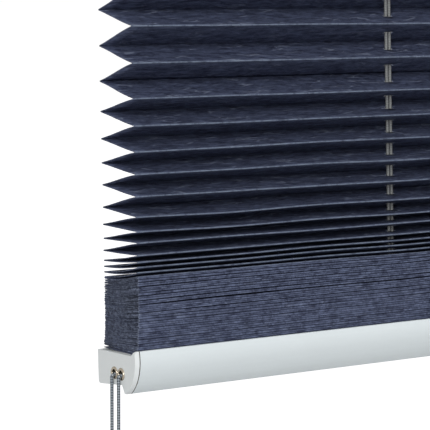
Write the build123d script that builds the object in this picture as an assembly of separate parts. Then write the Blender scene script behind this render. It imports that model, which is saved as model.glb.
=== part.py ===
from build123d import *
import math
import os

# A tensioned pleated blind: a pleated sheet hangs between a fixed head rail and a bottom rail.
# The bottom rail slides up and down on four taut cords that run from springs in the head rail,
# down through the pleats, along inside the bottom rail, out of its end caps and into two shoes.
# Millimetres. X runs along the rails, the front faces -Y, and +Z is up. The origin is midway
# between the two clips, on the face that they are screwed up against.

# Overall sizes
RAIL_LENGTH = 400.0  # both rail profiles and the fabric
DROP = 185.8  # from the head rail's underside to the bottom rail's seat, at rest
GUIDE_INSET = 103.4  # from a rail's end to the middle of a cord pair
CLIP_INSET = 50.0  # from a rail's end to the middle of a clip

# Fabric
PANEL = 20.0  # from one fold to the next, along the cloth
FABRIC_T = 0.2
FABRIC_GAP = 0.1  # between an end panel and the rail that it lies on
STACK_PLEATS = 35  # closed pleats at the bottom
STACK_PITCH = 0.67  # height of one closed pleat
LOOSE_PITCHES = [1.4, 1.7, 1.6, 2.0, 3.6, 3.1, 4.4, 6.1, 6.8, 6.9, 7.6, 8.1, 10.5, 10.9]
OPEN_PLEATS = 8  # the wide pleats above the loose ones, which share what is left of the drop
STACK_TILT = 2.4  # how far the back folds hang below the front ones at the top of the stack
TILT_FADE = 11  # loose pleats over which that tilt dies away
LIP_SHIFT = 1.9  # how far the front lip pushes the lowest pleat back
SHIFT_FADE = 6.0  # height over which that shift dies away
SLOT_FIT = 0.25  # clearance all round the cords in the cloth's slots

# Cords
CORD_D = 1.1
CORD_PITCH = 1.35  # between the two cords of a pair, along X
CORD_FIT = 0.3  # clearance all round a cord in a guide
RIM_FIT = 0.05  # between a cord and the rim that it bends over
LOWER_TURN_R = 2.0
CORD_LEAN = 0.5  # how much farther out a cord is at its shoe than at its eyelet
LEAN_R = 20.0  # radius of the slight bend where a leaning cord goes into its shoe

# Bottom rail section, measured from the middle of its seat
SEAT_FIT = 0.1  # from the end panel to the lip, and to the back edge of the seat
LIP_RISE = 1.4
LIP_LEAN = 0.9
LIP_TOP = 0.86  # width of the lip's top
CROWN_R = 12.7
CROWN_Z = -1.5
LEG_DROP = 12.0
LEG_W = 1.04
ARCH_STEP = 1.5  # from the leg's foot to the front of the arched floor
ARCH_FRONT_Z = -9.5
BACK_DROP = 10.6
RAIL_WALL = 1.2
FLOOR_WALL = 1.1
BACK_ROUND = 1.0

# Groove and strip that hold an end panel
NECK_W = 9.0
NECK_H = 0.7
UNDERCUT_W = 11.4
UNDERCUT_H = 1.2
STRIP_FIT = 0.15
GROOVE_WALL = 1.0
BOSS_WALL = 0.8
BOSS_FIT = 0.15

# Head rail section
HEAD_MARGIN = 1.0  # how far the head rail stands out from the cloth, front and back
HEAD_H = 18.0
HEAD_LIP = 3.0
HEAD_ROUND = 0.8

# End caps and eyelets
CAP_T = 1.6
CAP_SEAM = 0.25  # between a cap's flange and the end of its rail
PLUG_LENGTH = 7.0
PLUG_FIT = 0.15
PLUG_WALL = 0.8
PLUG_WINDOW = 9.2  # width of the way through a bottom cap's plug
CAP_ROUND = 1.1
HEAD_CAP_BEVEL = 0.5
EYE_DROP = 6.2  # from the seat to the middle of an eyelet
EYE_FIT = 1.0  # how much wider an eyelet's bore is than its cord
EYE_RING = 0.9  # thickness of the eyelet's rolled rim
EYE_WALL = 0.35
EYE_LENGTH = 3.2
EYE_GAP = 0.1  # between the rims of a cap's two eyelets

# Head rail fittings
GUIDE_LENGTH = 16.0
GUIDE_WIDTH = 12.4
GUIDE_OFFSET = 3.0  # how far a head rail guide is shifted towards the middle of the blind
GUIDE_FIT = 0.05
GUIDE_ROUND = 1.0
TURN_BASE = 1.0  # from the guide's seat up to the middle of the cords' turn
UPPER_TURN_R = 3.0
JOINER_D = 5.4
JOINER_LENGTH = 8.0
JOINER_GAP = 5.0  # from the guide to the joiner
JOINER_BEVEL = 0.4
CORD_BITE = 5.0  # how much of a cord is inside its joiner
TONGUE_T = 1.2
TONGUE_W = 3.2
TONGUE_HOLE = 1.5
TONGUE_REACH = 3.0  # from a fitting's face to the hole in its tongue
WIRE_D = 0.7
COIL_R = 2.15  # to the middle of the wire
COIL_TURNS = 10
COIL_PITCH = 2.4
ANCHOR_LENGTH = 14.0
ANCHOR_WING = 3.0

# Clips
CLIP_T = 1.2
CLIP_LENGTH = 26.0
CLIP_SCREW_D = 4.2
CLIP_LEG_T = 1.0
CLIP_FIT = 0.15

# Tension shoes
SHOE_GAP = 15.5  # from the bottom rail's foot down to the top of the shoes, at rest
SHOE_X = 14.0
SHOE_Y = 19.0
SHOE_H = 12.0
SHOE_WALL = 1.8
SHOE_ROUND = 2.5
SHOE_EDGE = 1.2
SHOE_PAD_H = 3.0
SHOE_BASE_T = 2.6
SHOE_BASE_Y = 36.0
SHOE_SCREW_D = 3.6
SHOE_SCREW_SPAN = 27.0
SHOE_FIT = 0.15
STOP_D = 3.0
STOP_LENGTH = 4.0
CRIMP_FIT = 0.05
CORD_TAIL = 1.0  # how far a cord's end stands out of its stop

# Places that follow from the sizes
HALF = RAIL_LENGTH / 2
HEAD_DEPTH = PANEL + 2 * HEAD_MARGIN
SEAT_BACK = PANEL / 2 + LIP_SHIFT + SEAT_FIT
SEAT_FRONT = PANEL / 2 - LIP_SHIFT + SEAT_FIT
CROWN_FRONT = SEAT_FRONT + LIP_LEAN + LIP_TOP
CROWN_Y = math.sqrt(CROWN_R**2 - (LIP_RISE - CROWN_Z) ** 2) - CROWN_FRONT
FOOT_Y = CROWN_Y - math.sqrt(CROWN_R**2 - (LEG_DROP + CROWN_Z) ** 2)
HEAD_UNDER = -CLIP_T - HEAD_H
SEAT_Z = HEAD_UNDER - DROP
GROOVE_DEPTH = NECK_H + UNDERCUT_H + GROOVE_WALL
GROOVE_HALF = UNDERCUT_W / 2 + GROOVE_WALL
MOUTH = HEAD_DEPTH - 2 * RAIL_WALL - 2 * HEAD_LIP  # between the head rail's lips
GUIDE_X = HALF - GUIDE_INSET
CLIP_X = HALF - CLIP_INSET
CAP_FACE = HALF + CAP_SEAM + CAP_T
EYE_BORE = CORD_D + EYE_FIT
RIM_R = EYE_BORE / 2 + EYE_RING / 2
CORD_LANE = EYE_BORE / 2 + EYE_RING + EYE_GAP / 2  # from the middle of a cap to each eyelet
BEND_R = EYE_RING / 2 + CORD_D / 2 + RIM_FIT
RUN_Z = SEAT_Z - EYE_DROP - RIM_R + BEND_R  # height of the cords inside the bottom rail
HANG_X = CAP_FACE + BEND_R  # where the cords start to hang down outside the caps
SHOE_MID = HANG_X + CORD_LEAN
TURN_Z = HEAD_UNDER + GROOVE_DEPTH + TURN_BASE
PULL_Z = TURN_Z + UPPER_TURN_R + CORD_PITCH / 2  # axis of the joiners and springs
JOINER_X = GUIDE_X - GUIDE_OFFSET - GUIDE_LENGTH / 2 - JOINER_GAP
HOOK_X = JOINER_X - JOINER_LENGTH - TONGUE_REACH
COIL_LENGTH = COIL_TURNS * COIL_PITCH
ANCHOR_X = HOOK_X - 2 * COIL_R - COIL_LENGTH - TONGUE_REACH
SHOE_TOP = SEAT_Z - LEG_DROP - SHOE_GAP
SHOE_FOOT = SHOE_TOP - SHOE_H
STOP_TOP = SHOE_TOP - SHOE_WALL
CORD_END = STOP_TOP - STOP_LENGTH - CORD_TAIL

SIDES = {"left": -1, "right": 1}


def save(shape, name):
    export_step(shape, f"parts/{name}.step")


def along_x(face, start, end):
    """A section drawn in Y and Z, carried along X from start to end."""
    return extrude(Plane.YZ.offset(start) * face, end - start)


def box_between(x, y, z):
    """A block between two limits on each axis."""
    size = (abs(x[1] - x[0]), abs(y[1] - y[0]), abs(z[1] - z[0]))
    middle = (sum(x) / 2, sum(y) / 2, sum(z) / 2)
    return Pos(*middle) * Box(*size)


def polygon(points):
    return make_face(Polyline(*points, close=True))


# Fabric ------------------------------------------------------------------------------------


def fold_points():
    """The folds as (y, z) from the top down, front and back in turn, with a free edge at each end."""
    top = HEAD_UNDER - FABRIC_GAP - FABRIC_T / 2
    bottom = SEAT_Z + FABRIC_GAP + FABRIC_T / 2
    room = top - bottom - STACK_PLEATS * STACK_PITCH - sum(LOOSE_PITCHES)
    pitches = [STACK_PITCH] * STACK_PLEATS + LOOSE_PITCHES + [room / OPEN_PLEATS] * OPEN_PLEATS
    points = [(PANEL / 2 + LIP_SHIFT, bottom)]
    height = bottom
    for k, pitch in enumerate(pitches):
        depth = math.sqrt(PANEL**2 - (pitch / 2) ** 2)
        shift = LIP_SHIFT * math.exp((bottom - height) / SHIFT_FADE)
        above_stack = max(0, k - STACK_PLEATS) / TILT_FADE
        tilt = STACK_TILT * min(k / STACK_PLEATS, max(0.0, 1 - above_stack))
        points.append((shift - depth / 2, height))
        points.append((shift + depth / 2, height + pitch / 2 - tilt))
        height += pitch
    points.append((-PANEL / 2, top))
    points.append((PANEL / 2, top))
    return points[::-1]


def inner_corner(before, fold, after):
    """Where the inner faces of the two panels that meet at a fold run into each other."""
    rise = (before[1] - fold[1]) / abs(before[0] - fold[0])
    fall = (fold[1] - after[1]) / abs(after[0] - fold[0])
    reach = FABRIC_T / (rise + fall)
    inward = math.copysign(reach, before[0] - fold[0])
    return (fold[0] + inward, fold[1] + reach * rise - FABRIC_T / 2)


def pleated_fabric():
    """One cloth, folded to and fro. Each fold is a blunt edge as high as the cloth is thick."""
    folds = fold_points()
    half = FABRIC_T / 2
    front_face = [(folds[0][0], folds[0][1] + half)]
    back_face = [(folds[0][0], folds[0][1] - half)]
    for k in range(1, len(folds) - 1):
        y, z = folds[k]
        corner = inner_corner(folds[k - 1], folds[k], folds[k + 1])
        edge = [(y, z + half), (y, z - half)]
        front_fold = k % 2 == 1
        front_face += edge if front_fold else [corner]
        back_face += [corner] if front_fold else edge
    front_face.append((folds[-1][0], folds[-1][1] - half))
    back_face.append((folds[-1][0], folds[-1][1] + half))
    cloth = along_x(polygon(front_face + back_face[::-1]), -HALF, HALF)
    slot = SlotOverall(CORD_PITCH + CORD_D + 2 * SLOT_FIT, CORD_D + 2 * SLOT_FIT)
    for side in SIDES.values():
        cloth -= extrude(Pos(side * GUIDE_X, 0, HEAD_UNDER) * slot, -DROP)
    return cloth


# Rails -------------------------------------------------------------------------------------


def groove_cut(face_z, inward):
    """The undercut groove for a fabric strip, in a face at height face_z. inward is -1 or 1 in Z."""
    neck = (face_z, face_z + inward * NECK_H)
    undercut = (neck[1], neck[1] + inward * UNDERCUT_H)
    section = Pos(0, sum(neck) / 2) * Rectangle(NECK_W, NECK_H)
    section += Pos(0, sum(undercut) / 2) * Rectangle(UNDERCUT_W, UNDERCUT_H)
    return section


def strip(face_z, inward, holes):
    """A T section strip in its groove, with its flange in the undercut and its rib up to the face."""
    rib_w = NECK_W - 2 * STRIP_FIT
    flange_w = UNDERCUT_W - 2 * STRIP_FIT
    flange_h = UNDERCUT_H - 2 * STRIP_FIT
    rib_h = NECK_H + STRIP_FIT
    section = Pos(0, face_z + inward * rib_h / 2) * Rectangle(rib_w, rib_h)
    section += Pos(0, face_z + inward * (rib_h + flange_h / 2)) * Rectangle(flange_w, flange_h)
    return along_x(section, -HALF, HALF) - holes


def boss(side, start, end, fit=0.0):
    """The oblong neck of a cord guide, between two heights, grown by a clearance."""
    length = CORD_PITCH + CORD_D + 2 * CORD_FIT + 2 * BOSS_WALL + 2 * fit
    width = CORD_D + 2 * CORD_FIT + 2 * BOSS_WALL + 2 * fit
    outline = Pos(side * GUIDE_X, 0, start) * SlotOverall(length, width)
    return extrude(outline, end - start)


def rail_outline():
    """The bottom rail's outer section: seat, front lip, crowned front, leg, arched floor and back."""
    lip_top = (-CROWN_FRONT, LIP_RISE)
    foot = (FOOT_Y, -LEG_DROP)
    leg_back = FOOT_Y + LEG_W
    arch_front = leg_back + ARCH_STEP
    outline = Line((SEAT_BACK, 0), (-SEAT_FRONT, 0))
    outline += Line((-SEAT_FRONT, 0), (-SEAT_FRONT - LIP_LEAN, LIP_RISE))
    outline += Line((-SEAT_FRONT - LIP_LEAN, LIP_RISE), lip_top)
    outline += ThreePointArc(lip_top, (CROWN_Y - CROWN_R, CROWN_Z), foot)
    outline += Line(foot, (leg_back, -LEG_DROP))
    outline += Line((leg_back, -LEG_DROP), (arch_front, ARCH_FRONT_Z))
    outline += Line((arch_front, ARCH_FRONT_Z), (SEAT_BACK, -BACK_DROP))
    outline += Line((SEAT_BACK, -BACK_DROP), (SEAT_BACK, 0))
    face = make_face(outline)
    corner = face.vertices().sort_by_distance((SEAT_BACK, -BACK_DROP))[0]
    return fillet(corner, BACK_ROUND)


def rail_chamber():
    """The hollow of the bottom rail, which steps down under the groove."""
    inner_r = CROWN_R - RAIL_WALL
    floor_front = ARCH_FRONT_Z + FLOOR_WALL
    floor_back = -BACK_DROP + FLOOR_WALL

    def inner_y(z):
        return CROWN_Y - math.sqrt(inner_r**2 - (z - CROWN_Z) ** 2)

    top_front = (inner_y(-RAIL_WALL), -RAIL_WALL)
    low_front = (inner_y(floor_front), floor_front)
    back = SEAT_BACK - RAIL_WALL
    outline = Line(top_front, (back, -RAIL_WALL))
    outline += Line((back, -RAIL_WALL), (back, floor_back))
    outline += Line((back, floor_back), low_front)
    mid_z = (floor_front - RAIL_WALL) / 2
    outline += ThreePointArc(low_front, (inner_y(mid_z), mid_z), top_front)
    step = Pos(0, -GROOVE_DEPTH / 2) * Rectangle(2 * GROOVE_HALF, GROOVE_DEPTH)
    return make_face(outline) - step


def bottom_rail():
    section = rail_outline() - rail_chamber() - groove_cut(0, -1)
    rail = along_x(Pos(0, SEAT_Z) * section, -HALF, HALF)
    for side in SIDES.values():
        rail -= boss(side, SEAT_Z, SEAT_Z - GROOVE_DEPTH, BOSS_FIT)
    return rail


def head_chamber():
    """The hollow of the head rail below its lips, measured from the middle of its underside."""
    top = HEAD_H - RAIL_WALL
    width = HEAD_DEPTH - 2 * RAIL_WALL
    chamber = Pos(0, (top + RAIL_WALL) / 2) * Rectangle(width, top - RAIL_WALL)
    return chamber - Pos(0, GROOVE_DEPTH / 2) * Rectangle(2 * GROOVE_HALF, GROOVE_DEPTH)


def head_rail():
    section = Pos(0, HEAD_H / 2) * RectangleRounded(HEAD_DEPTH, HEAD_H, HEAD_ROUND)
    section -= head_chamber() + Pos(0, HEAD_H) * Rectangle(MOUTH, 4 * RAIL_WALL)
    section -= groove_cut(0, 1)
    rail = along_x(Pos(0, HEAD_UNDER) * section, -HALF, HALF)
    for side in SIDES.values():
        rail -= boss(side, HEAD_UNDER, HEAD_UNDER + GROOVE_DEPTH, BOSS_FIT)
    return rail


# Cords -------------------------------------------------------------------------------------


def cord_route(side, outer):
    """A cord from its joiner to its stop. The outer one leaves by the near cap, the inner by the far."""
    half_pitch = CORD_PITCH / 2 if outer else -CORD_PITCH / 2
    upper_r = UPPER_TURN_R + CORD_PITCH if outer else UPPER_TURN_R
    x = side * (GUIDE_X + half_pitch)
    top = TURN_Z + upper_r
    end = side if outer else -side
    lane = -side * CORD_LANE
    points = [
        (side * (JOINER_X - CORD_BITE), 0, top),
        (x, 0, top),
        (x, 0, RUN_Z),
        (end * HANG_X, lane, RUN_Z),
        (end * SHOE_MID, lane, SHOE_TOP),
        (end * SHOE_MID, lane, CORD_END),
    ]
    return FilletPolyline(*points, radius=[upper_r, LOWER_TURN_R, BEND_R, LEAN_R])


def tube(route, diameter):
    section = Plane(origin=route @ 0, z_dir=route % 0) * Circle(diameter / 2)
    return sweep(section, path=route)


def all_routes():
    return {
        f"cord_{name}_{reach}": cord_route(side, reach == "outer")
        for name, side in SIDES.items()
        for reach in ("outer", "inner")
    }


def tunnels(side):
    """The ways of one pair of cords, grown by their clearance, to be cut out of a guide."""
    return [tube(cord_route(side, outer), CORD_D + 2 * CORD_FIT) for outer in (True, False)]


def passage(side):
    """A slot, open below, for the far pair's inner cord, which slants past this side's guide."""
    start_x = -GUIDE_X + CORD_PITCH / 2
    share = (GUIDE_X - start_x) / (HANG_X - start_x)
    y = side * CORD_LANE * share
    half_w = CORD_D / 2 + CORD_FIT
    half_x = GUIDE_LENGTH / 2 + CORD_FIT
    middle = side * GUIDE_X
    return box_between(
        (middle - half_x, middle + half_x),
        (y - half_w, y + half_w),
        (SEAT_Z - BACK_DROP, RUN_Z + half_w),
    )


def guide_block(middle, low, high):
    block = Pos(middle, 0, (low + high) / 2) * Box(GUIDE_LENGTH, GUIDE_WIDTH, high - low)
    return fillet(block.edges().filter_by(Axis.Z), GUIDE_ROUND)


def upper_guide(side):
    seat = HEAD_UNDER + GROOVE_DEPTH + GUIDE_FIT
    crest = PULL_Z + CORD_PITCH / 2 + CORD_D / 2 + CORD_FIT + BOSS_WALL
    block = guide_block(side * (GUIDE_X - GUIDE_OFFSET), seat, crest)
    return block + boss(side, seat, HEAD_UNDER + FABRIC_GAP) - tunnels(side)


def lower_guide(side):
    top = SEAT_Z - GROOVE_DEPTH - GUIDE_FIT
    foot = SEAT_Z + ARCH_FRONT_Z + FLOOR_WALL + 2 * GUIDE_FIT
    block = guide_block(side * GUIDE_X, foot, top)
    return block + boss(side, top, SEAT_Z - FABRIC_GAP) - tunnels(side) - passage(side)


# End caps ----------------------------------------------------------------------------------


def facing_out(side, shape):
    """A shape made for the right end, turned over to the other end for the left."""
    return shape if side > 0 else mirror(shape, about=Plane.YZ)


def plug(chamber, window):
    """The part of a cap that sits in its rail, hollowed by a window for what passes through."""
    section = offset(chamber, -PLUG_FIT) - window
    return along_x(section, HALF - PLUG_LENGTH, HALF + CAP_SEAM)


def bottom_cap(side):
    outline = rail_outline()
    flange = along_x(outline, HALF + CAP_SEAM, CAP_FACE)
    edges = flange.edges().filter_by_position(Axis.X, CAP_FACE, CAP_FACE)
    crown = edges.sort_by(Axis.Y)[0]
    flange = fillet(crown, CAP_ROUND)
    window_top = -GROOVE_DEPTH - PLUG_WALL
    window_h = BACK_DROP
    window = Pos(0, window_top - window_h / 2) * Rectangle(PLUG_WINDOW, window_h)
    cap = flange + plug(rail_chamber(), window)
    for lane in (-CORD_LANE, CORD_LANE):
        bore = Cylinder(EYE_BORE / 2 + EYE_WALL + CRIMP_FIT, 4 * CAP_T)
        cap -= Pos(CAP_FACE, lane, -EYE_DROP) * Rot(0, 90, 0) * bore
    return facing_out(side, Pos(0, 0, SEAT_Z) * cap)


def eyelet(side, lane):
    """A drawn metal eyelet: a barrel through the cap with its outer end rolled over into a rim."""
    bore = EYE_BORE / 2
    barrel = bore + EYE_WALL
    rim = bore + EYE_RING
    outline = Line((-EYE_LENGTH, bore), (-EYE_LENGTH, barrel))
    outline += Line((-EYE_LENGTH, barrel), (0, barrel))
    outline += Line((0, barrel), (0, rim))
    outline += ThreePointArc((0, rim), (EYE_RING / 2, RIM_R), (0, bore))
    outline += Line((0, bore), (-EYE_LENGTH, bore))
    ring = revolve(make_face(outline), Axis.X)
    return facing_out(side, Pos(CAP_FACE, lane, SEAT_Z - EYE_DROP) * ring)


def head_cap(side):
    flange = along_x(
        Pos(0, HEAD_H / 2) * RectangleRounded(HEAD_DEPTH, HEAD_H, HEAD_ROUND),
        HALF + CAP_SEAM,
        CAP_FACE,
    )
    outer = flange.edges().filter_by_position(Axis.X, CAP_FACE, CAP_FACE)
    flange = chamfer(outer, HEAD_CAP_BEVEL)
    window_low = GROOVE_DEPTH + 2 * PLUG_WALL
    window = Pos(0, window_low + HEAD_H / 2) * Rectangle(MOUTH, HEAD_H)
    cap = flange + plug(head_chamber(), window)
    return facing_out(side, Pos(0, 0, HEAD_UNDER) * cap)


# Head rail fittings ------------------------------------------------------------------------


def tongue(face_x, hole_x):
    """A flat tongue from a face to just past the hole that a spring hooks into."""
    low, high = sorted((face_x, hole_x))
    blade = Pos((low + high) / 2, 0, PULL_Z) * Box(high - low, TONGUE_W, TONGUE_T)
    blade += Pos(hole_x, 0, PULL_Z) * Cylinder(TONGUE_W / 2, TONGUE_T)
    return blade - Pos(hole_x, 0, PULL_Z) * Cylinder(TONGUE_HOLE / 2, 2 * TONGUE_T)


def joiner(side):
    middle = JOINER_X - JOINER_LENGTH / 2
    body = Pos(middle, 0, PULL_Z) * Rot(0, 90, 0) * Cylinder(JOINER_D / 2, JOINER_LENGTH)
    body = chamfer(body.edges().filter_by(GeomType.CIRCLE), JOINER_BEVEL)
    for rise in (-CORD_PITCH / 2, CORD_PITCH / 2):
        bore = Cylinder(CORD_D / 2 + CRIMP_FIT, 2 * (CORD_BITE + CRIMP_FIT))
        body -= Pos(JOINER_X, 0, PULL_Z + rise) * Rot(0, 90, 0) * bore
    return facing_out(side, body + tongue(JOINER_X - JOINER_LENGTH, HOOK_X))


def anchor(side):
    """A block held under the head rail's lips, which the fixed end of a spring hooks onto."""
    low_x = ANCHOR_X - ANCHOR_LENGTH
    seat = HEAD_UNDER + GROOVE_DEPTH + GUIDE_FIT
    under_lips = -CLIP_T - RAIL_WALL - GUIDE_FIT
    stem_y = GUIDE_WIDTH / 2
    wing_y = HEAD_DEPTH / 2 - RAIL_WALL - PLUG_FIT
    wing_z = under_lips - ANCHOR_WING
    body = box_between((low_x, ANCHOR_X), (-stem_y, stem_y), (seat, under_lips))
    body += box_between((low_x, ANCHOR_X), (-wing_y, wing_y), (wing_z, under_lips))
    return facing_out(side, body + tongue(ANCHOR_X, HOOK_X - 2 * COIL_R - COIL_LENGTH))


def spring(side):
    """A tension spring whose last half turn at each end is bent up into a hook."""
    helix = Helix(pitch=COIL_PITCH, height=COIL_LENGTH, radius=COIL_R)
    wire = Circle(WIRE_D / 2)
    coil = sweep(Plane(origin=helix @ 0, z_dir=helix % 0) * wire, path=helix, is_frenet=True)
    for end, reach in ((0, -COIL_R), (COIL_LENGTH, COIL_R)):
        hook = ThreePointArc((COIL_R, 0, end), (0, 0, end + reach), (-COIL_R, 0, end))
        coil += sweep(Plane(origin=hook @ 0, z_dir=hook % 0) * wire, path=hook)
        coil += Pos(COIL_R, 0, end) * Sphere(WIRE_D / 2)
    laid = Pos(HOOK_X - COIL_R, 0, PULL_Z) * Rot(0, -90, 0) * coil
    return laid if side > 0 else Rot(0, 0, 180) * laid


def clip(side):
    """A bent spring steel clip: a plate on the rail with two legs whose feet hold its lips."""
    leg_out = MOUTH / 2 - CLIP_FIT
    leg_in = leg_out - CLIP_LEG_T
    foot_top = -CLIP_T - RAIL_WALL - CLIP_FIT
    foot_low = foot_top - CLIP_LEG_T
    foot_out = MOUTH / 2 + HEAD_LIP - 4 * CLIP_FIT
    section = Pos(0, -CLIP_T / 2) * Rectangle(HEAD_DEPTH - 2 * RAIL_WALL, CLIP_T)
    for way in (-1, 1):
        section += polygon(
            [
                (way * leg_in, -CLIP_T),
                (way * leg_out, -CLIP_T),
                (way * leg_out, foot_top),
                (way * foot_out, foot_top),
                (way * foot_out, foot_low),
                (way * leg_in, foot_low),
            ]
        )
    middle = side * CLIP_X
    bent = along_x(section, middle - CLIP_LENGTH / 2, middle + CLIP_LENGTH / 2)
    return bent - Pos(middle, 0, -CLIP_T / 2) * Cylinder(CLIP_SCREW_D / 2, 2 * CLIP_T)


# Tension shoes -----------------------------------------------------------------------------


def shoe_body(side):
    """A housing over the cord stops, open underneath, with a mouth for each cord."""
    middle = side * SHOE_MID
    outline = Pos(middle, 0, SHOE_FOOT) * RectangleRounded(SHOE_X, SHOE_Y, SHOE_ROUND)
    shell = extrude(outline, SHOE_H)
    shell = fillet(shell.edges().group_by(Axis.Z)[-1], SHOE_EDGE)
    inside_x = SHOE_X - 2 * SHOE_WALL
    inside_y = SHOE_Y - 2 * SHOE_WALL
    hollow = Pos(middle, 0, SHOE_FOOT) * Rectangle(inside_x, inside_y)
    shell -= extrude(hollow, SHOE_H - SHOE_WALL)
    for lane in (-CORD_LANE, CORD_LANE):
        mouth = Cylinder(CORD_D / 2 + CORD_FIT, 4 * SHOE_WALL)
        shell -= Pos(middle, lane, SHOE_TOP) * mouth
    return shell


def shoe_base(side):
    """A plate screwed to the sill, with a pad that fills the foot of the shoe's housing."""
    middle = side * SHOE_MID
    low = SHOE_FOOT - SHOE_BASE_T
    plate = extrude(Pos(middle, 0, low) * RectangleRounded(SHOE_X, SHOE_BASE_Y, SHOE_ROUND), SHOE_BASE_T)
    pad_x = SHOE_X - 2 * SHOE_WALL - 2 * SHOE_FIT
    pad_y = SHOE_Y - 2 * SHOE_WALL - 2 * SHOE_FIT
    plate += extrude(Pos(middle, 0, SHOE_FOOT) * Rectangle(pad_x, pad_y), SHOE_PAD_H)
    for way in (-1, 1):
        place = Pos(middle, way * SHOE_SCREW_SPAN / 2, SHOE_FOOT)
        plate -= place * CounterSinkHole(SHOE_SCREW_D / 2, SHOE_SCREW_D, 2 * SHOE_BASE_T)
    return plate


def cord_stop(side, lane):
    place = Pos(side * SHOE_MID, lane, STOP_TOP - STOP_LENGTH / 2)
    bead = chamfer(Cylinder(STOP_D / 2, STOP_LENGTH).edges().filter_by(GeomType.CIRCLE), JOINER_BEVEL)
    return place * (bead - Cylinder(CORD_D / 2 + CRIMP_FIT, 2 * STOP_LENGTH))


def main():
    os.makedirs("parts", exist_ok=True)
    routes = all_routes()
    upper_bosses = [boss(s, HEAD_UNDER, HEAD_UNDER + GROOVE_DEPTH, BOSS_FIT) for s in SIDES.values()]
    lower_bosses = [boss(s, SEAT_Z, SEAT_Z - GROOVE_DEPTH, BOSS_FIT) for s in SIDES.values()]
    save(pleated_fabric(), "pleated_fabric")
    save(head_rail(), "head_rail")
    save(bottom_rail(), "bottom_rail")
    save(strip(HEAD_UNDER, 1, upper_bosses), "top_strip")
    save(strip(SEAT_Z, -1, lower_bosses), "bottom_strip")
    for name, route in routes.items():
        save(tube(route, CORD_D), name)
        print(name, "length", round(route.length, 1))
    for name, side in SIDES.items():
        save(upper_guide(side), f"top_guide_{name}")
        save(lower_guide(side), f"bottom_guide_{name}")
        save(bottom_cap(side), f"bottom_cap_{name}")
        save(head_cap(side), f"head_cap_{name}")
        save(joiner(side), f"joiner_{name}")
        save(spring(side), f"spring_{name}")
        save(anchor(side), f"anchor_{name}")
        save(clip(side), f"clip_{name}")
        save(shoe_body(side), f"shoe_body_{name}")
        save(shoe_base(side), f"shoe_base_{name}")
        for place, lane in (("front", -CORD_LANE), ("back", CORD_LANE)):
            save(eyelet(side, lane), f"eyelet_{name}_{place}")
            save(cord_stop(side, lane), f"cord_stop_{name}_{place}")


main()
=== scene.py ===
import math

import bpy
import numpy as np
from mathutils import Matrix, Vector


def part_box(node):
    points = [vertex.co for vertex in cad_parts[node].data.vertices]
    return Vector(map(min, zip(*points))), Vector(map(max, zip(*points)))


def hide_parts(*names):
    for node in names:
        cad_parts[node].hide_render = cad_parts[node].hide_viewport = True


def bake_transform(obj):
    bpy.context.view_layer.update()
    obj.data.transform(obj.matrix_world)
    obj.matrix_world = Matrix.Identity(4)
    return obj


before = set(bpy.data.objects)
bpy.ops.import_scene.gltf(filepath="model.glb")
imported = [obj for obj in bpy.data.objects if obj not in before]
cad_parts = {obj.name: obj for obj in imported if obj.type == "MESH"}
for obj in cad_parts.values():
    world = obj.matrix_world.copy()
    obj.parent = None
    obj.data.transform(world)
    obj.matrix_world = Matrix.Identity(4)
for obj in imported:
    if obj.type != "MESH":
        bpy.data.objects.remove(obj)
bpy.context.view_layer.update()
MM = 0.001

# Places that the CAD model gives ---------------------------------------------------------------

HEAD_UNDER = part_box("head_rail")[0].z
DROP = 185.8  # from the head rail's underside to the seat, as in the part's source, in millimetres
SEAT = HEAD_UNDER - DROP * MM
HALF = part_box("bottom_rail")[1].x
SHOE_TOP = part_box("shoe_body_right")[1].z
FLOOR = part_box("shoe_base_right")[0].z

# The cloth's folding, as in the part's source, in millimetres
PANEL = 20.0
STACK_PLEATS = 35
STACK_PITCH = 0.67
LOOSE_PITCHES = np.array([1.4, 1.7, 1.6, 2.0, 3.6, 3.1, 4.4, 6.1, 6.8, 6.9, 7.6, 8.1, 10.5, 10.9])
OPEN_PLEATS = 8
SPAN_HEIGHTS = np.array([30, 43, 78, 118, 153, 174])  # where the open cloth's spans meet
STACK_TILT = 2.4  # how far the back folds droop at the stack's top
TILT_FADE = 11  # over how many loose pleats they rise again
WIDE_GAPS = {6: 0.12, 14: 0.16, 22: 0.22}  # packed pleats with a wider pitch, and by how much
STACK_TOP = STACK_PLEATS * STACK_PITCH
STACK_SAG = 0.6  # how far the middle of a packed panel sags
SAG_FADE = (6, 8)  # over what heights the sag grows above the rail and dies out above the stack
LIP_SHIFT = 1.9  # how far the rail's lip holds the lowest front folds back
SHIFT_FADE = 6.0
BACK_SHARE = 0.7  # how much of that shift the back folds take
CLOTH_T = 0.2
SLOT_HALF = (1.475, 0.8)  # half the length of a slot, and half its width
NOSE = np.radians([-50, 0, 50])  # where the rows of a fold's rounded nose lie on its arc
NOSE_R = 0.12  # radius of the nose at an open fold
PACKED_NOSE_R = 0.3  # the same at a packed fold, at most
BED = 0.28  # from a rail's face to the middle of the panel that lies on it

# The cords' routes, as in the part's source, in millimetres
CORD_D = 1.1
BRAID = 1.6  # along the cord, from one strand to the next of the three that wind each way
CORD_X = 96.6  # middle of a pair
CORD_PITCH = 1.35
CORD_LANE = 2.0
RUN_Z = -211.65
HANG_X = 202.9
SHOE_MID = 203.4
JOINER_END = 75.6
TURN_Z = -15.3
UPPER_TURN_R = 3.0
CORD_END = -239.3


# Camera ----------------------------------------------------------------------------------------


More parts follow.
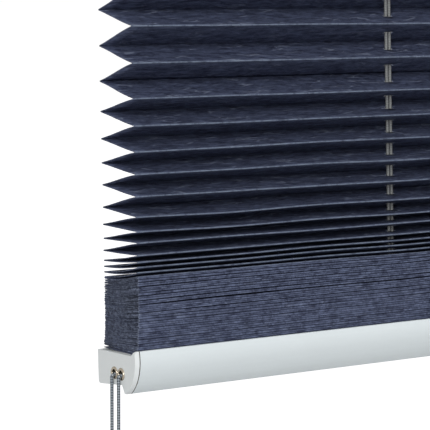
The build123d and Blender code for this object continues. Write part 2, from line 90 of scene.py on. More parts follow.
def place_camera():
    """A long lens to the left of the blind's lower left corner, turned, tipped and rolled by these angles."""
    azimuth, fall, roll = math.radians(-33.045), math.radians(4.467), math.radians(-1.204)
    back = Vector((math.sin(azimuth) * math.cos(fall), -math.cos(azimuth) * math.cos(fall), math.sin(fall)))
    across = (-back).cross(Vector((0, 0, 1))).normalized()
    up = across.cross(-back)
    right = across * math.cos(roll) + up * math.sin(roll)
    top = up * math.cos(roll) - across * math.sin(roll)
    data = bpy.data.cameras.new("camera")
    data.lens = 167.06
    data.sensor_width = 36.0
    data.clip_start, data.clip_end = 0.05, 20.0
    camera = bpy.data.objects.new("camera", data)
    camera.matrix_world = Matrix(
        (
            (right.x, top.x, back.x, -0.5032),
            (right.y, top.y, back.y, -0.5190),
            (right.z, top.z, back.z, -0.1168),
            (0, 0, 0, 1),
        )
    )
    bpy.context.scene.collection.objects.link(camera)
    bpy.context.scene.camera = camera


# Surfaces --------------------------------------------------------------------------------------


def smooth_noise(rng, rows, at, spacing):
    """One smooth random wave per row, from -1 to 1: random heights at even knots, joined by smoothsteps."""
    steps = (at - at.min()) / spacing
    knots = rng.uniform(-1, 1, (rows, int(steps.max()) + 2))
    low = np.floor(steps).astype(int)
    share = steps - low
    share = share * share * (3 - 2 * share)
    return knots[:, low] * (1 - share) + knots[:, low + 1] * share


def surface(name, places, uv, keep=None, wrap=False):
    """A mesh over a grid of places (rows, columns, 3). The grid closes on itself across the columns if
    wrap is true, and then its two ends are closed by flat faces. keep says which of its cells are there."""
    rows, columns = places.shape[:2]
    corner = np.arange(rows * columns).reshape(rows, columns)
    shown = np.arange(rows * (columns + wrap)).reshape(rows, columns + wrap)
    if wrap:
        corner = np.concatenate([corner, corner[:, :1]], axis=1)

    def cells(index):
        quads = np.stack([index[:-1, :-1], index[:-1, 1:], index[1:, 1:], index[1:, :-1]], axis=-1)
        return quads.reshape(-1, 4) if keep is None else quads[keep]

    quads = cells(corner)
    loops = quads.ravel()
    uv_loops = uv.reshape(-1, 2)[cells(shown).ravel()]
    starts = np.arange(len(quads)) * 4
    if wrap:
        ends = np.concatenate([corner[0, :-1][::-1], corner[-1, :-1]])
        loops = np.concatenate([loops, ends])
        uv_loops = np.concatenate([uv_loops, np.zeros((len(ends), 2))])
        starts = np.concatenate([starts, len(quads) * 4 + np.array([0, columns])])
    mesh = bpy.data.meshes.new(name)
    mesh.vertices.add(rows * columns)
    mesh.vertices.foreach_set("co", places.astype(np.float32).ravel())
    mesh.loops.add(len(loops))
    mesh.loops.foreach_set("vertex_index", loops.astype(np.int32))
    mesh.polygons.add(len(starts))
    mesh.polygons.foreach_set("loop_start", starts.astype(np.int32))
    mesh.polygons.foreach_set("use_smooth", np.ones(len(starts), bool))
    mesh.update(calc_edges=True)
    layer = mesh.uv_layers.new(name="laid")
    layer.data.foreach_set("uv", uv_loops.astype(np.float32).ravel())
    mesh.validate()
    piece = bpy.data.objects.new(name, mesh)
    bpy.context.scene.collection.objects.link(piece)
    return piece


# Cloth -----------------------------------------------------------------------------------------


def fold_places(rng):
    """Depth y and height z of every fold's tip from the seat up, in millimetres, front and back in turn,
    between the free edge on the seat and the one under the head rail. Depth is the root of the panel's
    square less the square of half the pitch."""
    bottom = SEAT / MM + BED
    top = HEAD_UNDER / MM - BED
    packed = STACK_PITCH * (1 + rng.uniform(-0.25, 0.25, STACK_PLEATS))
    packed[list(WIDE_GAPS)] += list(WIDE_GAPS.values())
    packed *= STACK_TOP / packed.sum()
    room = top - bottom - packed.sum() - LOOSE_PITCHES.sum()
    pitches = np.concatenate([packed, LOOSE_PITCHES, np.full(OPEN_PLEATS, room / OPEN_PLEATS)])
    heights = bottom + np.concatenate([[0], np.cumsum(pitches)[:-1]])
    k = np.arange(len(pitches))
    depth = np.sqrt(PANEL**2 - (pitches / 2) ** 2)
    shift = LIP_SHIFT * np.exp((bottom - heights) / SHIFT_FADE)
    above = np.clip((k - STACK_PLEATS) / TILT_FADE, 0, 1)
    tilt = STACK_TILT * np.minimum(k / STACK_PLEATS, 1 - above) - 0.8 * np.exp(-k / 4)
    y = np.stack([shift - depth / 2, BACK_SHARE * shift + depth / 2], axis=1).ravel()
    z = np.stack([heights, heights + pitches / 2 - tilt], axis=1).ravel()
    y = np.concatenate([[PANEL / 2 + BACK_SHARE * LIP_SHIFT], y, [-PANEL / 2, PANEL / 2]])
    z = np.concatenate([[bottom], z, [top, top]])
    return y, z


def cloth_columns(count):
    """Places along X: even steps, with extra ones round the two slots where the cords pass."""
    even = np.linspace(-HALF / MM, HALF / MM, count)
    end = SLOT_HALF[0]
    near = np.array([-2.8, -end, -1.25, -0.7, 0, 0.7, 1.25, end, 2.8])
    slots = np.concatenate([near - CORD_X, near + CORD_X])
    clear = np.abs(even[:, None] - np.array([-CORD_X, CORD_X])).min(1) > 3.0
    return np.sort(np.concatenate([even[clear], slots]))


def nose_radii(fold_z):
    """The radius of each fold's nose, which nearly fills half the room to the nearest fold on its side."""
    beside = fold_z[2:] - fold_z[:-2]
    open_room = [9.0, 9.0]  # beyond the first and last two folds, where nothing limits a nose
    room = np.minimum(np.append(beside, open_room), np.append(open_room, beside))
    largest = np.where(fold_z < fold_z[0] + STACK_TOP, PACKED_NOSE_R, NOSE_R)
    return np.clip(0.48 * (room - CLOTH_T), 0.04, largest)


def panel_profiles(panels, fold_y, fold_z, along):
    """Depth y and height z along each panel and then round the nose at its far end: (panels, rows). The
    height runs from the front fold to the back one by 0.72 t + 0.71 t squared - 0.43 t cubed of the rise,
    so that it leaves the front fold flat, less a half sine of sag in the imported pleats."""
    from_front = panels % 2 == 1
    way = np.where(from_front, 1.0, -1.0)
    radius = nose_radii(fold_z)
    y0, y1 = fold_y[panels], fold_y[panels + 1]
    z0, z1 = fold_z[panels], fold_z[panels + 1]
    r0, r1 = radius[panels], radius[panels + 1]
    t = np.where(from_front[:, None], along, 1 - along)
    share = 0.72 * t + 0.71 * t**2 - 0.43 * t**3
    rise = np.where(from_front[:, None], share, 1 - share)
    grow, die = SAG_FADE
    in_stack = np.clip((fold_z[0] + STACK_TOP + die - z0) / die, 0, 1)
    sag = STACK_SAG * in_stack * np.clip((z0 - fold_z[0]) / grow, 0, 1)
    row_y = (y0 + way * r0)[:, None] + (y1 - y0 - way * (r0 + r1))[:, None] * along
    row_z = (z0 + r0)[:, None] + (z1 - z0 - r0 - r1)[:, None] * rise - sag[:, None] * np.sin(math.pi * along)
    nose_y = y1[:, None] + (way * r1)[:, None] * (np.cos(NOSE) - 1)
    nose_z = z1[:, None] + r1[:, None] * np.sin(NOSE)
    return np.concatenate([row_y, nose_y], axis=1), np.concatenate([row_z, nose_z], axis=1)


def slot_outline(x):
    """Which places along X lie in a slot, and how wide it is there, as a share. Its ends are round."""
    half_length, half_width = SLOT_HALF
    near = np.abs(np.abs(x) - CORD_X)
    past_end = np.clip(near - half_length + half_width, 0, 0.95 * half_width)
    in_slot = near < half_length + 0.01
    return in_slot, np.where(in_slot, np.sqrt(1 - (past_end / half_width) ** 2), 1.0)


def pleats(rng, name, first, last, fold_y, fold_z, x, across, waves, ragged):
    """The cloth from one fold to another, as one sheet: the panels' profiles carried along X. Each fold
    wanders forwards by its own wave, neighbouring folds rise and fall together, slots let the cords
    through, and the two cut ends are ragged by that many millimetres."""
    panels = np.arange(first, last)
    inner = (1 - SLOT_HALF[1] / (PANEL / 2)) / 2
    along = np.concatenate([np.linspace(0, inner, across), 1 - np.linspace(inner, 0, across)])
    y, z = panel_profiles(panels, fold_y, fold_z, along)
    on_panel = np.concatenate([along, np.ones(len(NOSE))])
    row = np.arange(len(on_panel))
    rows = len(panels) * len(row)
    low, high = waves
    to_next = on_panel[None, :, None, None]
    wander = low[panels][:, None] * (1 - to_next) + high[panels][:, None] * to_next
    places = np.zeros((rows, len(x), 3))
    places[:, :, 0] = x
    places[:, [0, -1], 0] += ragged * rng.uniform(-1, 1, (rows, 2))
    in_slot, narrow = slot_outline(x)
    by_slot = np.isin(row, [across - 1, across])
    middle = (fold_y[panels] + fold_y[panels + 1]) / 2
    away = y - middle[:, None]
    grid_y = middle[:, None, None] + away[:, :, None] * np.where(by_slot[None, :, None], narrow, 1.0)
    places[:, :, 1] = (grid_y + wander[:, :, :, 0]).reshape(rows, len(x))
    places[:, :, 2] = (z[:, :, None] + wander[:, :, :, 1]).reshape(rows, len(x))
    places *= MM
    laid = panels[:, None] * PANEL + on_panel * PANEL
    uv = np.stack(np.broadcast_arrays(x, laid.reshape(rows, 1)), axis=-1) * MM
    slot_row = np.tile(row == across - 1, len(panels))[:-1]
    slot_column = in_slot[:-1] & in_slot[1:]
    keep = ~(slot_row[:, None] & slot_column[None, :])
    return surface(name, places, uv, keep)


def fold_waves(rng, fold_z, x):
    """How each fold wanders forwards and up along X, in millimetres: (folds, columns, 2), for both ends
    of the panel that starts at it. Packed folds wander forwards most, and loose ones up most."""
    folds = len(fold_z)
    height = fold_z - fold_z[0]
    packed = (height < STACK_TOP)[:, None]
    loose = np.exp(-(((height - 42) / 26) ** 2))[:, None]
    forward = 0.5 * smooth_noise(rng, folds, x, 24) + 0.5 * smooth_noise(rng, folds, x, 10)
    forward = forward * np.where(packed, 0.26, 0.2)
    levels = 40
    common = smooth_noise(rng, levels, x, 34)
    level = np.clip(height / 5.5, 0, levels - 1.1)
    low = level.astype(int)
    up = common[low] * (1 - (level - low))[:, None] + common[low + 1] * (level - low)[:, None]
    up = up * (0.10 + 0.30 * loose) + np.where(packed, 0.05, 0.0) * smooth_noise(rng, folds, x, 14)
    fade = np.clip(height / 6, 0, 1) * np.clip((fold_z[-1] - fold_z) / 8, 0, 1)
    up = up * fade[:, None]
    waves = np.stack([forward, up], axis=-1)
    return waves[:-1], waves[1:]


def packs_evenly(part):
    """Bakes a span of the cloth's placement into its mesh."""
    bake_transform(part)


def make_cloth():
    """The whole cloth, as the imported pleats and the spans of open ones, which meet at folds."""
    rng = np.random.default_rng(41)
    fold_y, fold_z = fold_places(rng)
    x = cloth_columns(84)
    waves = fold_waves(rng, fold_z, x)
    stack_top = 2 * STACK_PLEATS + 1
    back_folds = 2 * np.searchsorted(fold_z[2::2], SPAN_HEIGHTS + fold_z[0]) + 2
    spans = [0, stack_top, *back_folds, len(fold_y) - 1]
    parts = []
    for i, (first, last) in enumerate(zip(spans[:-1], spans[1:])):
        name = "cloth_stack" if i == 0 else f"cloth_open_{i}"
        rows, ragged = (2, 0.22) if i == 0 else (4, 0.06)
        part = pleats(rng, name, first, last, fold_y, fold_z, x, rows, waves, ragged)
        parts.append(part)
        packs_evenly(part)
        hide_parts("pleated_fabric")
        wall = part.modifiers.new("thickness", "SOLIDIFY")
        wall.thickness = CLOTH_T * MM
        wall.offset = 0
        wall.material_offset_rim = 1
    return parts


# Cords -----------------------------------------------------------------------------------------


def cord_points(side, outer):
    """The route of a cord in millimetres, with a point each side of a turn, as its arc is wide."""
    x = side * (CORD_X + (CORD_PITCH / 2 if outer else -CORD_PITCH / 2))
    radius = UPPER_TURN_R + CORD_PITCH if outer else UPPER_TURN_R
    top = TURN_Z + radius
    lane = -side * CORD_LANE
    way = side if outer else -side
    exit_x = way * HANG_X
    slope = lane / abs(exit_x - x)
    upper = [
        (side * JOINER_END, 0, top),
        (x - side * 2 * radius, 0, top),
        (x, 0, top),
        (x, 0, top - 2 * radius),
        (x, 0, RUN_Z + 6),
        (x, 0, RUN_Z + 4),
        (x, 0, RUN_Z),
        (x + way * 4, 4 * slope, RUN_Z),
        (x + way * 6, 6 * slope, RUN_Z),
        (exit_x - way * 5.5, lane - 5.5 * slope, RUN_Z),
        (exit_x - way * 3.5, lane - 3.5 * slope, RUN_Z),
    ]
    lower = [
        (exit_x - way * 6.5, lane - 6.5 * slope, RUN_Z),
        (exit_x - way * 2, lane - 2 * slope, RUN_Z),
        (exit_x, lane, RUN_Z),
        (exit_x, lane, RUN_Z - 2),
        (exit_x + way * 0.1, lane, RUN_Z - 6),
        (way * SHOE_MID, lane, SHOE_TOP / MM),
        (way * SHOE_MID, lane, SHOE_TOP / MM - 1.5),
        (way * SHOE_MID, lane, CORD_END),
    ]
    return upper, lower


def smooth_line(points, step):
    """Points at even steps along the order 3 spline that has these as its control points, in metres."""
    data = bpy.data.curves.new("route", "CURVE")
    data.dimensions = "3D"
    spline = data.splines.new("NURBS")
    spline.points.add(len(points) - 1)
    spline.points.foreach_set("co", np.array([(*p, 1 / MM) for p in points]).ravel() * MM)
    spline.order_u = 3
    spline.use_endpoint_u = True
    data.resolution_u = 24
    holder = bpy.data.objects.new("route", data)
    mesh = bpy.data.meshes.new_from_object(holder)
    line = np.zeros(len(mesh.vertices) * 3)
    mesh.vertices.foreach_get("co", line)
    line = line.reshape(-1, 3)
    bpy.data.objects.remove(holder)
    bpy.data.curves.remove(data)
    bpy.data.meshes.remove(mesh)
    far = np.concatenate([[0], np.cumsum(np.linalg.norm(np.diff(line, axis=0), axis=1))])
    at = np.linspace(0, far[-1], int(far[-1] / step) + 1)
    return np.stack([np.interp(at, far, line[:, k]) for k in range(3)], axis=1), far[-1]


def braided_tube(name, points, step, sides, swell):
    """A round cord along a line: each ring is turned to face along it, and its radius swells by that
    share wherever one of two opposed helices of strands crosses over the other."""
    line, length = smooth_line(points, step)
    ahead = np.gradient(line, axis=0)
    ahead /= np.linalg.norm(ahead, axis=1)[:, None]
    level = np.array([0.0, 1.0, 0.0])
    first = level - (ahead @ level)[:, None] * ahead
    first /= np.linalg.norm(first, axis=1)[:, None]
    second = np.cross(ahead, first)
    angle = np.linspace(0, 2 * math.pi, sides, endpoint=False)
    far = np.linspace(0, length, len(line))[:, None]
    one = np.sin(3 * angle + 2 * math.pi * far / (BRAID * MM))
    other = np.sin(3 * angle - 2 * math.pi * far / (BRAID * MM))
    radius = (CORD_D / 2 * MM * (1 + swell * one * other))[:, :, None]
    around = np.cos(angle)[None, :, None] * first[:, None] + np.sin(angle)[None, :, None] * second[:, None]
    places = line[:, None] + radius * around
    turns = np.linspace(0, 1, sides + 1)
    uv = np.stack(np.broadcast_arrays(turns, far), axis=-1)
    return surface(name, places, uv, wrap=True), line, length


def declare_cord(node):
    """Hides the CAD cord that a piece stands for."""
    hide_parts(node)


def make_cords():
    """Each cord in two pieces: the run down to the bottom rail and along it, and the tail to its shoe."""
    made = []
    for side, hand in ((-1, "left"), (1, "right")):
        for outer, reach in ((True, "outer"), (False, "inner")):
            upper, lower = cord_points(side, outer)
            node = f"cord_{hand}_{reach}"
            run, line, length = braided_tube(f"lift_{node}", upper, 0.45 * MM, 12, 0.0)
            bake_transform(run)
            declare_cord(node)
            tail, line, length = braided_tube(f"tail_{node}", lower, 0.1 * MM, 24, 0.06)
            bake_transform(tail)
            declare_cord(node)
            made += [run, tail]
    return made


# Effects that more than one material uses ------------------------------------------------------


class Nodes:
    """A node tree that is being wired: add() makes a node, sets its values and links its inputs."""

    def __init__(self, tree):
        self.tree = tree

    def add(self, kind, values=None, **settings):
        node = self.tree.nodes.new(kind)
        for key, value in settings.items():
            setattr(node, key, value)
        for key, value in (values or {}).items():
            if isinstance(value, bpy.types.NodeSocket):
                self.tree.links.new(value, node.inputs[key])
            else:
                node.inputs[key].default_value = value
        return node

    def maths(self, operation, first, second=0.0, third=0.0):
        return self.add("ShaderNodeMath", {0: first, 1: second, 2: third}, operation=operation).outputs[0]

    def spread(self, value, low, high, to_low=0.0, to_high=1.0):
        ends = {0: value, 1: low, 2: high, 3: to_low, 4: to_high}
        return self.add("ShaderNodeMapRange", ends, interpolation_type="SMOOTHSTEP").outputs[0]

    def noise(self, place, scale, detail=3.0, roughness=0.5, distortion=0.0):
        values = {
            "Vector": place,
            "Scale": scale,
            "Detail": detail,
            "Roughness": roughness,
            "Distortion": distortion,
        }
        return self.add("ShaderNodeTexNoise", values).outputs["Fac"]

    def stretch(self, place, scale):
        return self.add("ShaderNodeVectorMath", {0: place, 1: scale}, operation="MULTIPLY").outputs[0]

    def mix(self, share, first, second, blend_type="MIX"):
        values = {0: share, 6: first, 7: second}
        return self.add("ShaderNodeMix", values, data_type="RGBA", blend_type=blend_type).outputs[2]


def effect(name, inputs, outputs):
    """An empty node group with those named inputs (kind and value) and outputs (kind)."""
    tree = bpy.data.node_groups.new(name, "ShaderNodeTree")
    for key, (kind, value) in inputs.items():
        socket = tree.interface.new_socket(name=key, in_out="INPUT", socket_type=f"NodeSocket{kind}")
        if value is not None:
            socket.default_value = value
    for key, kind in outputs.items():
        tree.interface.new_socket(name=key, in_out="OUTPUT", socket_type=f"NodeSocket{kind}")
    wired = Nodes(tree)
    given = wired.add("NodeGroupInput").outputs
    result = wired.add("NodeGroupOutput").inputs
    return tree, wired, given, result


def crepe_effect():
    """Crinkled cloth: fine streaks along the cloth's width, a slow mottle, and a few short sharp wrinkles."""
    tree, w, given, result = effect(
        "crepe",
        {"Place": ("Vector", None)},
        {"Streak": "Float", "Mottle": "Float", "Wrinkle": "Float", "Height": "Float"},
    )
    place = given["Place"]
    streak = w.noise(w.stretch(place, (380, 900, 1)), 1.0, 5.0, 0.7, 0.8)
    mottle = w.noise(w.stretch(place, (170, 380, 1)), 1.0, 4.0, 0.65, 0.6)
    bend = w.noise(w.stretch(place, (180, 420, 1)), 1.0, 2.0)
    straight = w.stretch(place, (95, 300, 1))
    bent = w.add("ShaderNodeVectorMath", {0: straight, 1: bend}, operation="ADD").outputs[0]
    cells = w.add("ShaderNodeTexVoronoi", {"Vector": bent, "Scale": 1.0}, feature="DISTANCE_TO_EDGE")
    line = w.spread(cells.outputs["Distance"], 0.0, 0.11, 1.0, 0.0)
    where = w.spread(w.noise(w.stretch(place, (90, 190, 1)), 1.0, 2.0), 0.50, 0.64)
    wrinkle = w.maths("MULTIPLY", line, where)
    height = w.maths("MULTIPLY_ADD", wrinkle, 0.6, w.maths("MULTIPLY_ADD", mottle, 0.8, streak))
    for key, value in (("Streak", streak), ("Mottle", mottle), ("Wrinkle", wrinkle), ("Height", height)):
        w.tree.links.new(value, result[key])
    return tree


def grain_effect():
    """A fine even grain with a slow drift in tone, for moulded plastic and metal."""
    tree, w, given, result = effect(
        "grain",
        {"Place": ("Vector", None), "Fineness": ("Float", 1500.0), "Depth": ("Float", 0.1)},
        {"Tone": "Float", "Height": "Float"},
    )
    fine = w.noise(given["Place"], given["Fineness"], 2.0, 0.6)
    slow = w.noise(given["Place"], 35.0, 2.0, 0.5)
    both = w.maths("MULTIPLY_ADD", fine, 0.5, w.maths("MULTIPLY", slow, 0.5))
    tone = w.maths("MULTIPLY_ADD", w.maths("SUBTRACT", both, 0.5), given["Depth"], 1.0)
    w.tree.links.new(tone, result["Tone"])
    w.tree.links.new(fine, result["Height"])
    return tree


def material(name, roughness, metallic=0.0, **constants):
    """A material with one Principled shader, whose constants are set plainly."""
    made = bpy.data.materials.new(name)
    made.use_nodes = True
    w = Nodes(made.node_tree)
    shader = made.node_tree.nodes["Principled BSDF"]
    shader.inputs["Roughness"].default_value = roughness
    shader.inputs["Metallic"].default_value = metallic
    for key, value in constants.items():
        shader.inputs[key.replace("_", " ")].default_value = value
    return made, w, shader


def bump(w, shader, height, strength, distance):
    values = {"Strength": strength, "Distance": distance, "Height": height}
    w.tree.links.new(w.add("ShaderNodeBump", values).outputs[0], shader.inputs["Normal"])


def toned(w, colour, tone):
    """A colour times a tone near 1."""
    grey = w.add("ShaderNodeCombineColor", {0: tone, 1: tone, 2: tone}).outputs[0]
    return w.mix(1.0, colour, grey, "MULTIPLY")


def cloth_finish(crepe):
    """Crinkled navy cloth, with a painted highlight along its folds, only on a fold's outer side, and on the
    stack's corner, and paler round its slots. Its pale wrinkle lines are painted highlights, which show most
    on the panels that rise from a front fold, as these face up to the light."""
    made, w, shader = material("crinkled_navy_cloth", 0.65, Specular_IOR_Level=0.15)
    laid = w.add("ShaderNodeUVMap", uv_map="laid").outputs[0]
    out = w.add("ShaderNodeGroup", {"Place": laid}, node_tree=crepe).outputs
    parts = w.add("ShaderNodeSeparateXYZ", {0: laid}).outputs
    from_back = w.maths("PINGPONG", parts[1], PANEL * MM)
    # A painted highlight along each fold, on its outer side only, where a crease catches the light.
    normal = w.add("ShaderNodeNewGeometry").outputs["True Normal"]
    outward = w.add("ShaderNodeSeparateXYZ", {0: normal}).outputs[1]
    front_ridge = w.spread(from_back, (PANEL - 0.45) * MM, PANEL * MM)
    front_ridge = w.maths("MULTIPLY", front_ridge, w.spread(outward, -0.15, 0.0, 1.0, 0.0))
    back_ridge = w.spread(from_back, 0.0, 0.45 * MM, 1.0, 0.0)
    back_ridge = w.maths("MULTIPLY", back_ridge, w.spread(outward, 0.0, 0.15))
    fold_highlight_place = w.maths("ADD", front_ridge, back_ridge)
    # Near the cloth's cut ends, where the stack's corner gets a painted highlight.
    corner_highlight_place = w.spread(w.maths("ABSOLUTE", parts[0]), HALF - 0.5 * MM, HALF - 0.2 * MM)
    from_slot = w.maths("ABSOLUTE", w.maths("SUBTRACT", w.maths("ABSOLUTE", parts[0]), CORD_X * MM))
    from_slot = w.maths("MULTIPLY", w.maths("MAXIMUM", w.maths("SUBTRACT", from_slot, 0.6 * MM), 0.0), 1 / MM)
    up_slot = w.maths("MULTIPLY", w.maths("SUBTRACT", from_back, PANEL / 2 * MM), 1 / MM)
    off_slot = w.add("ShaderNodeCombineXYZ", {0: from_slot, 1: up_slot}).outputs[0]
    ring = w.add("ShaderNodeVectorMath", {0: off_slot}, operation="LENGTH")
    rim = w.spread(ring.outputs["Value"], 0.95, 1.7, 0.8, 0.0)
    open_part = w.spread(parts[1], (2 * STACK_PLEATS - 1) * PANEL * MM, (2 * STACK_PLEATS + 4) * PANEL * MM)
    dark, light = (0.022, 0.026, 0.055, 1), (0.130, 0.156, 0.255, 1)
    both = w.maths("MULTIPLY_ADD", out["Streak"], 0.5, w.maths("MULTIPLY", out["Mottle"], 0.5))
    tone = w.spread(both, 0.35, 0.67)
    base = w.mix(tone, dark, light)
    # Painted highlights on the wrinkles: stronger on the panels that rise from a front fold, which face up to
    # the light, and weaker in the stack.
    in_pleat = w.maths("MODULO", parts[1], 2 * PANEL * MM)
    upper_face = w.spread(in_pleat, (PANEL - 0.1) * MM, (PANEL + 0.1) * MM, 0.35, 0.8)
    wrinkle_highlight_share = w.maths("MULTIPLY", upper_face, w.spread(open_part, 0.0, 1.0, 0.3, 1.0))
    shown = w.maths("MULTIPLY", out["Wrinkle"], wrinkle_highlight_share)
    base = w.mix(shown, base, (0.28, 0.32, 0.44, 1))
    # The painted fold highlight, broken up by the streaks and fainter in the stack.
    edge = w.maths("MULTIPLY", fold_highlight_place, w.spread(out["Streak"], 0.3, 0.65, 0.25, 0.9))
    edge = w.maths("MULTIPLY", edge, w.spread(open_part, 0.0, 1.0, 0.12, 1.0))
    base = w.mix(edge, base, (0.165, 0.20, 0.265, 1))
    # A painted highlight along the stack's front corner, in the stack only.
    corner = w.maths("MULTIPLY", w.maths("MULTIPLY", fold_highlight_place, corner_highlight_place), w.spread(open_part, 0.0, 1.0, 0.3, 0.0))
    base = w.mix(corner, base, (0.30, 0.34, 0.42, 1))
    base = w.mix(rim, base, (0.42, 0.46, 0.60, 1))
    w.tree.links.new(base, shader.inputs["Base Color"])
    bump(w, shader, out["Height"], 0.8, 0.0005)
    return made


def cut_edge_finish():
    """The cloth's cut ends: rough, darker where the relief sinks, as painted shade in the hollows, with paler
    threads.
    """
    made, w, shader = material("cut_navy_edge", 0.8, Specular_IOR_Level=0.2)
    place = w.add("ShaderNodeTexCoord").outputs["Object"]
    clumps = w.noise(place, 900.0, 3.0, 0.7, 0.5)
    threads = w.noise(w.stretch(place, (1, 700, 2600)), 1.0, 2.0, 0.6)
    # The clumps set both the relief and the tone, so the hollows get painted shade.
    tone = w.spread(w.maths("MULTIPLY_ADD", clumps, 0.6, w.maths("MULTIPLY", threads, 0.4)), 0.36, 0.66)
    base = w.mix(tone, (0.030, 0.034, 0.054, 1), (0.20, 0.235, 0.33, 1))
    w.tree.links.new(base, shader.inputs["Base Color"])
    bump(w, shader, clumps, 0.6, 0.0005)
    return made


def cord_finish(name, pale, dark, fleck, depth, outline):
    """Braid: dark diamonds between two opposed helices of strands, partly the braid's dark strands and partly
    painted shade in the valleys of its relief, with painted shade towards the cord's outline and a few pale
    flecks."""
    made, w, shader = material(name, 0.75, Sheen_Weight=0.2)
    laid = w.add("ShaderNodeUVMap", uv_map="laid").outputs[0]
    parts = w.add("ShaderNodeSeparateXYZ", {0: laid}).outputs
    turn = w.maths("MULTIPLY", parts[0], 6 * math.pi)
    run = w.maths("MULTIPLY", parts[1], 2 * math.pi / (BRAID * MM))
    one = w.maths("SINE", w.maths("ADD", turn, run))
    other = w.maths("SINE", w.maths("SUBTRACT", turn, run))
    cross = w.maths("MULTIPLY", one, other)
    strands = w.noise(w.stretch(laid, (8, 900, 1)), 1.0, 2.0)
    # Painted shade: darker where the cord turns away from the view, and in the braid's valleys, where the
    # relief is low.
    painted_limb_shade = w.add("ShaderNodeLayerWeight", {"Blend": 0.5}).outputs["Facing"]
    shade = w.maths("MAXIMUM", w.spread(cross, -0.2, 0.2, depth, 0.0), w.spread(painted_limb_shade, *outline))
    base = w.mix(shade, pale, dark)
    base = w.mix(w.maths("MULTIPLY", w.spread(strands, 0.56, 0.68), w.spread(cross, 0.1, 0.6)), base, fleck)
    w.tree.links.new(base, shader.inputs["Base Color"])
    bump(w, shader, w.maths("MULTIPLY_ADD", strands, 0.3, cross), 0.5, 0.0001)
    return made


def plain_finish(name, grain, colour, roughness, metallic=0.0, fineness=1500.0, depth=0.1, **constants):
    """Moulded plastic or metal: one colour with a fine grain in tone and relief."""
    made, w, shader = material(name, roughness, metallic, **constants)
    place = w.add("ShaderNodeTexCoord").outputs["Object"]
    values = {"Place": place, "Fineness": fineness, "Depth": depth}
    out = w.add("ShaderNodeGroup", values, node_tree=grain).outputs
    w.tree.links.new(toned(w, colour, out["Tone"]), shader.inputs["Base Color"])
    bump(w, shader, out["Height"], 0.15, 0.0001)
    return made


def drawn_finish(name, grain, colour, roughness, metallic):
    """Anodised aluminium profile: faint draw lines along X over the grain, and end faces painted dark brown
    as shade in the seam against the caps.
    """
    made, w, shader = material(name, roughness, metallic)
    place = w.add("ShaderNodeTexCoord").outputs["Object"]
    values = {"Place": place, "Fineness": 900.0, "Depth": 0.04}
    out = w.add("ShaderNodeGroup", values, node_tree=grain).outputs
    lines = w.noise(w.stretch(place, (4, 1600, 1600)), 1.0, 3.0, 0.6)
    tone = w.maths("MULTIPLY_ADD", w.maths("SUBTRACT", lines, 0.5), 0.05, out["Tone"])
    along = w.maths("ABSOLUTE", w.add("ShaderNodeSeparateXYZ", {0: place}).outputs[0])
    # Painted shade: the end faces, seen through the seam at the caps, are dark brown so the seam reads dark.
    painted_seam_shade = w.spread(along, HALF - 0.10 * MM, HALF - 0.04 * MM)
    base = w.mix(painted_seam_shade, toned(w, colour, tone), (0.10, 0.085, 0.07, 1))
    w.tree.links.new(base, shader.inputs["Base Color"])
    rough = w.maths("MULTIPLY_ADD", lines, 0.1, roughness - 0.05)
    w.tree.links.new(rough, shader.inputs["Roughness"])
    bump(w, shader, lines, 0.06, 0.00005)
    return made


def paint(objects, finish):
    for piece in objects:
        piece.data.materials.clear()
        piece.data.materials.append(finish)


def finish_everything(cloth, cords):
    crepe, grain = crepe_effect(), grain_effect()
    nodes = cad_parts

    def named(*starts):
        return [piece for name, piece in nodes.items() if name.startswith(starts)]

    paint(cloth + named("pleated_fabric"), cloth_finish(crepe))
    cut_edge = cut_edge_finish()
    for part in cloth:
        part.data.materials.append(cut_edge)
    upper = cord_finish(
        "beige_grey_cord",
        pale=(0.25, 0.26, 0.255, 1),
        dark=(0.03, 0.03, 0.04, 1),
        fleck=(0.33, 0.34, 0.33, 1),
        depth=0.3,
        outline=(0.06, 0.45),
    )
    lower = cord_finish(
        "blue_grey_cord",
        pale=(0.33, 0.37, 0.41, 1),
        dark=(0.012, 0.02, 0.03, 1),
        fleck=(0.7, 0.72, 0.72, 1),
        depth=1.0,
        outline=(0.3, 0.8),
    )
    paint([c for c in cords if c.name.startswith("lift")] + named("cord_left", "cord_right"), upper)
    paint([c for c in cords if c.name.startswith("tail")], lower)
    paint(
        named("head_rail", "bottom_rail"),
        drawn_finish("silver_profile", grain, (0.69, 0.74, 0.757, 1), 0.64, 0.33),
    )
    paint(
        named("bottom_cap", "head_cap", "shoe"),
        plain_finish(
            "pale_grey_plastic", grain, (0.82, 0.853, 0.857, 1), 0.6, depth=0.05, Specular_IOR_Level=0.25
        ),
    )
    paint(
        named("top_strip", "bottom_strip", "top_guide", "bottom_guide", "joiner", "anchor", "cord_stop"),
        plain_finish("white_plastic", grain, (0.72, 0.72, 0.70, 1), 0.45, depth=0.06),
    )
    paint(
        named("eyelet"),
        plain_finish("worn_nickel", grain, (0.40, 0.35, 0.28, 1), 0.24, 1.0, fineness=2500.0, depth=0.8),
    )
    paint(
        named("spring", "clip"),
        plain_finish("spring_steel", grain, (0.50, 0.50, 0.51, 1), 0.35, 1.0, fineness=2500.0, depth=0.3),
    )


# Stage -----------------------------------------------------------------------------------------


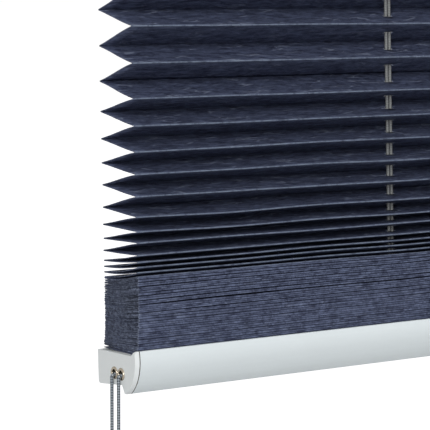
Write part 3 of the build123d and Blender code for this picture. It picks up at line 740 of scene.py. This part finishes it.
def area_light(name, place, target, size, power):
    data = bpy.data.lights.new(name, "AREA")
    data.shape = "DISK"
    data.size = size
    data.energy = power
    lamp = bpy.data.objects.new(name, data)
    lamp.location = place
    lamp.rotation_mode = "QUATERNION"
    lamp.rotation_quaternion = (Vector(target) - Vector(place)).to_track_quat("-Z", "Y")
    bpy.context.scene.collection.objects.link(lamp)


def make_stage():
    """A plain pale floor under a sky. Both are pure white where they are seen directly, less bright where
    they are mirrored, and dim as they light things. A soft key light stands low at the front left, with a
    weak fill and a weaker top light."""
    world = bpy.data.worlds.new("studio")
    bpy.context.scene.world = world
    world.use_nodes = True
    w = Nodes(world.node_tree)
    sky = world.node_tree.nodes["Background"]
    seen = w.add("ShaderNodeLightPath").outputs
    white = w.maths("MAXIMUM", w.maths("MULTIPLY", seen["Is Glossy Ray"], 0.75), seen["Is Camera Ray"])
    strength = w.maths("MULTIPLY_ADD", white, 0.8, 0.22)
    w.tree.links.new(strength, sky.inputs["Strength"])
    sky.inputs["Color"].default_value = (1, 1, 1, 1)
    floor = surface(
        "floor",
        np.array([[(x, y, FLOOR - 0.0005) for x in (-6.0, 6.0)] for y in (-6.0, 6.0)]),
        np.zeros((2, 2, 2)),
    )
    made, w, shader = material("pale_floor", 0.9, Specular_IOR_Level=0.0)
    grey = w.noise(w.add("ShaderNodeTexCoord").outputs["Object"], 3.0)
    base = toned(w, (0.6, 0.6, 0.6, 1), w.maths("MULTIPLY_ADD", grey, 0.02, 0.99))
    w.tree.links.new(base, shader.inputs["Base Color"])
    shader.inputs["Emission Color"].default_value = (1, 1, 1, 1)
    seen = w.add("ShaderNodeLightPath").outputs
    glow = w.maths("MAXIMUM", w.maths("MULTIPLY", seen["Is Glossy Ray"], 0.6), seen["Is Camera Ray"])
    w.tree.links.new(glow, shader.inputs["Emission Strength"])
    paint([floor], made)
    area_light("key", (-1.35, -1.55, 0.26), (-0.1, 0, -0.12), 0.9, 28)
    area_light("fill", (1.3, -1.5, 0.3), (-0.1, 0, -0.12), 0.8, 8)
    area_light("top", (-0.5, -0.6, 1.5), (-0.1, 0, -0.12), 1.2, 3)
    bpy.context.scene.view_settings.view_transform = "Standard"


# Making ----------------------------------------------------------------------------------------

place_camera()
cords = make_cords()
cloth = make_cloth()
finish_everything(cloth, cords)
make_stage()
